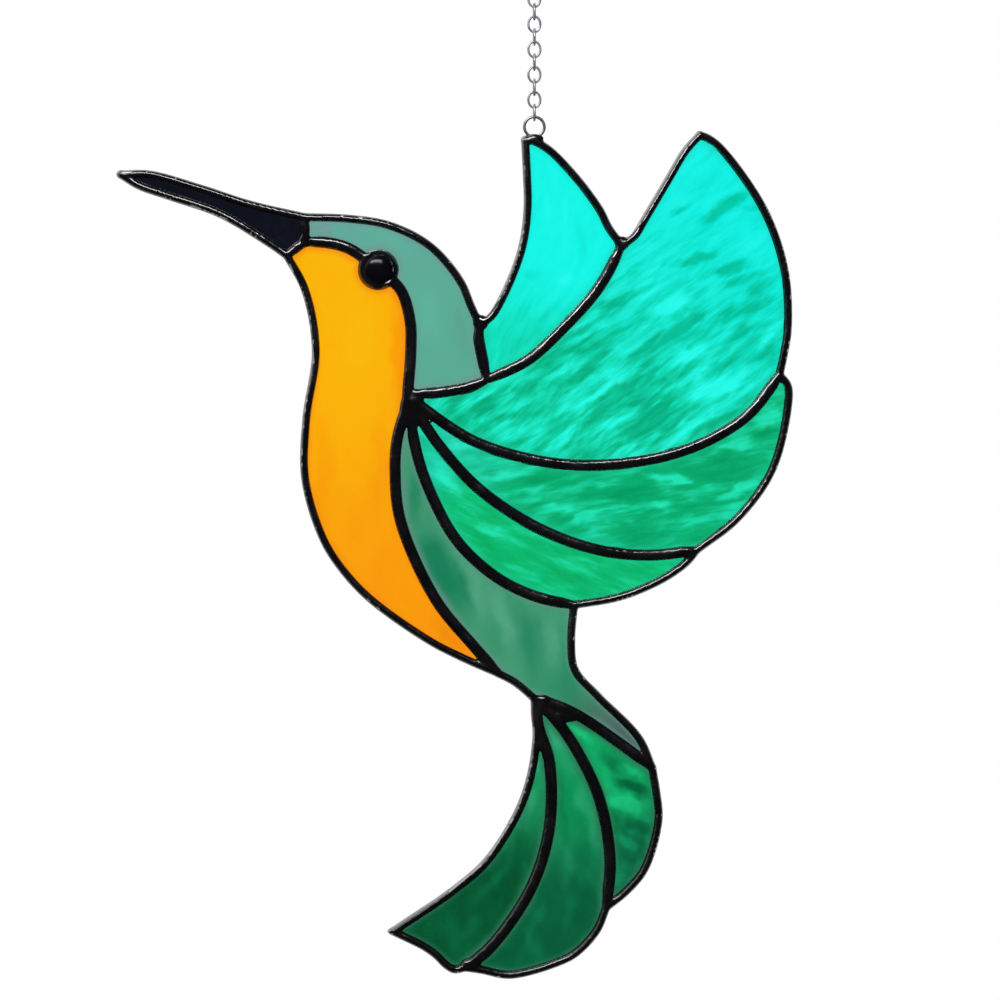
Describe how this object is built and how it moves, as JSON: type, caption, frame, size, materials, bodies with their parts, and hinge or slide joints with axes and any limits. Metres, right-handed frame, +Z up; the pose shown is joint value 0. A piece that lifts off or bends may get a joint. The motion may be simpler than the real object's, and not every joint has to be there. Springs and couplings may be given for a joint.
{
  "type": "suncatcher",
  "caption": "Flat hummingbird suncatcher: coloured acrylic panes held in a network of black solder lines, with a domed eye, hung by a short link chain that ends in a ring.",
  "frame": {"origin": "the top of the hanging ring's inside, where a hook or nail carries the suncatcher", "axes": "+Z up along the chain, the bird's front faces -Y, and +X is to the right as seen from the front"},
  "size_m": [0.1693, 0.0067, 0.2606],
  "materials": {
    "black_solder": "glossy black patina on solder",
    "acrylic_black": "opaque glossy black-navy",
    "acrylic_sage": "milky translucent, soft cloudy bands",
    "acrylic_amber": "milky translucent amber",
    "acrylic_aqua": "translucent, shallow ripples",
    "acrylic_turquoise": "translucent, rippled water texture",
    "acrylic_jade": "translucent, rippled water texture",
    "acrylic_emerald": "translucent, rippled water texture",
    "acrylic_moss": "milky translucent, soft upright bands",
    "acrylic_fern": "translucent, cloudy wisps, darker to the tip",
    "acrylic_forest": "translucent, cloudy wisps",
    "acrylic_leaf": "translucent, cloudy wisps",
    "eye_black": "polished black cabochon",
    "gunmetal_wire": "gunmetal plated steel wire"
  },
  "bodies": {
    "root": {"solder_lines": "black_solder", "pane_beak": "acrylic_black", "pane_crown": "acrylic_sage", "pane_breast": "acrylic_amber", "pane_back_wing": "acrylic_aqua", "pane_wing_upper": "acrylic_turquoise", "pane_wing_middle": "acrylic_jade", "pane_wing_lower": "acrylic_emerald", "pane_rump": "acrylic_moss", "pane_tail_inner": "acrylic_fern", "pane_tail_middle": "acrylic_forest", "pane_tail_outer": "acrylic_leaf", "eye_gem": "eye_black", "jump_ring": "gunmetal_wire", "chain_link_01": "gunmetal_wire", "chain_link_02": "gunmetal_wire", "chain_link_03": "gunmetal_wire", "chain_link_04": "gunmetal_wire", "chain_link_05": "gunmetal_wire", "chain_link_06": "gunmetal_wire", "chain_link_07": "gunmetal_wire", "chain_link_08": "gunmetal_wire", "chain_link_09": "gunmetal_wire", "chain_link_10": "gunmetal_wire", "chain_link_11": "gunmetal_wire", "hanging_ring": "gunmetal_wire"}
  },
  "joints": []
}
